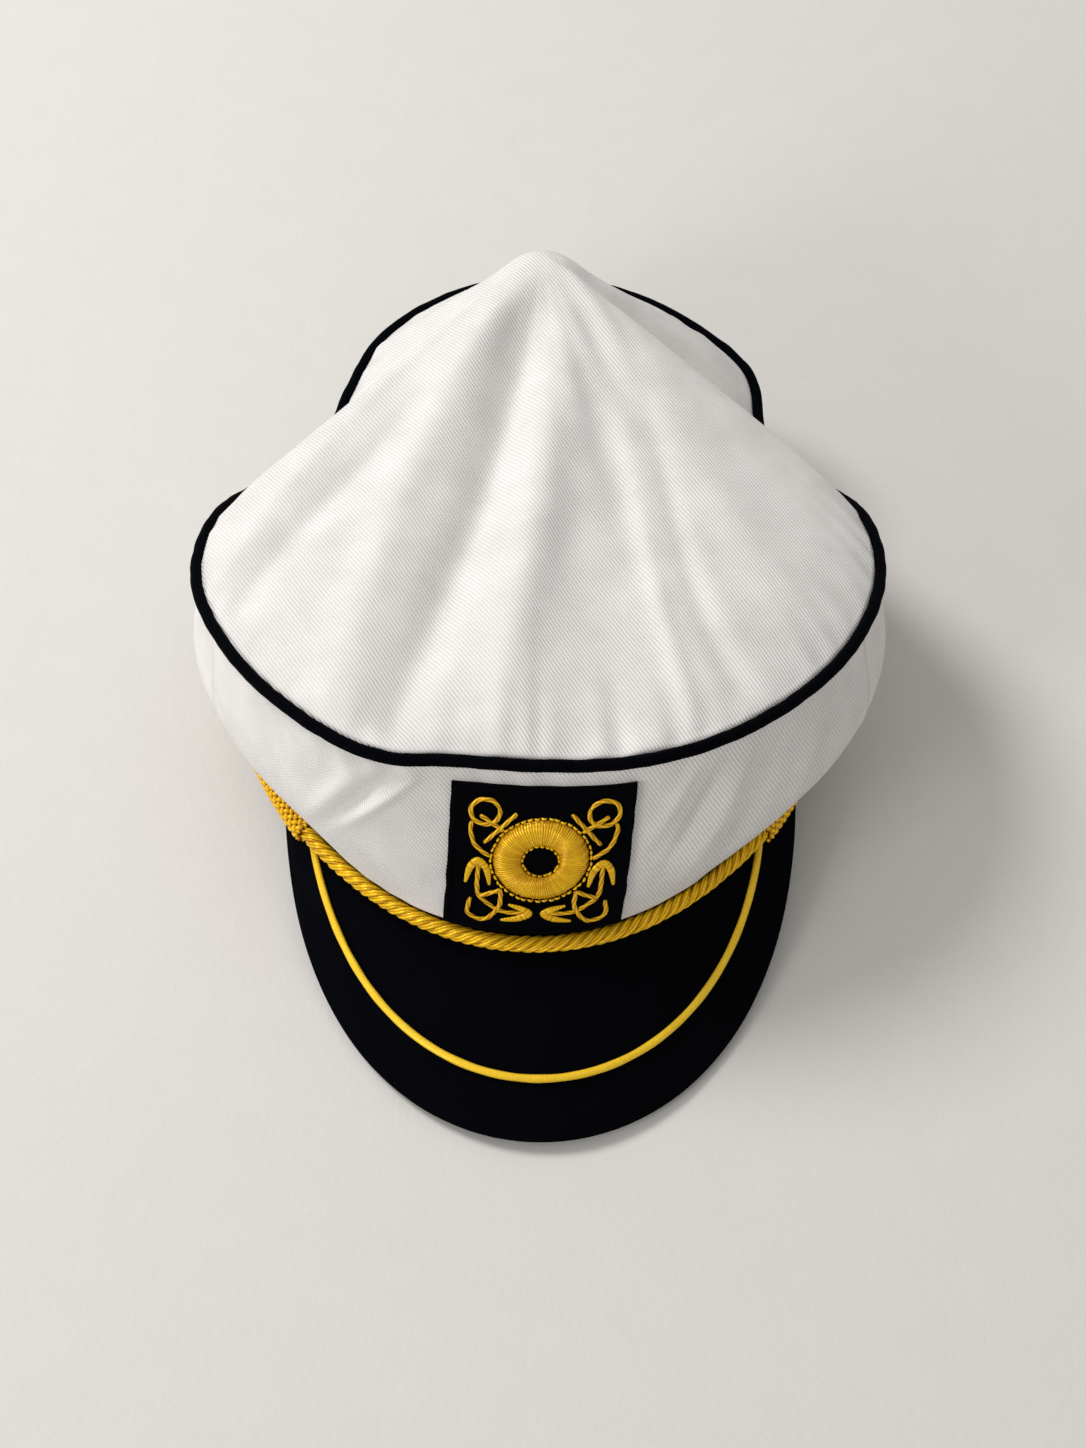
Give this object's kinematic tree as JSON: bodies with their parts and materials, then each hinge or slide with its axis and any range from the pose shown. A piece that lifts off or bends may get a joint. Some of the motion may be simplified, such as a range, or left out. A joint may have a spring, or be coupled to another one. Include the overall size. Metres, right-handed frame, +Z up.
{
  "type": "sailor cap",
  "caption": "Soft white yachting cap with a black cloth visor, black piping, gold cord and a sewn badge of a life ring and crossed anchors",
  "frame": {"origin": "under the middle of the cap, on the surface that it stands on", "axes": "+Z up, -Y towards the front of the visor, +X to the right of someone who faces the cap; the cap leans back a little as it rests"},
  "size_m": [0.2414, 0.3246, 0.1047],
  "materials": {
    "white_cotton": "matt white cotton twill",
    "black_cotton": "matt black cotton cloth",
    "gold_thread": "bright gold thread, softly shining"
  },
  "bodies": {
    "root": {"crown_top": "white_cotton", "crown_front": "white_cotton", "crown_back": "white_cotton", "crown_piping": "black_cotton", "head_band": "black_cotton", "visor": "black_cotton", "badge_patch": "black_cotton", "visor_trim": "gold_thread", "gold_cord": "gold_thread", "cord_slider_left": "gold_thread", "cord_slider_right": "gold_thread", "cord_button_left": "gold_thread", "cord_button_right": "gold_thread", "badge_life_ring": "gold_thread", "anchor_head_left": "gold_thread", "anchor_head_right": "gold_thread", "anchor_foot_left": "gold_thread", "anchor_foot_right": "gold_thread"}
  },
  "joints": []
}
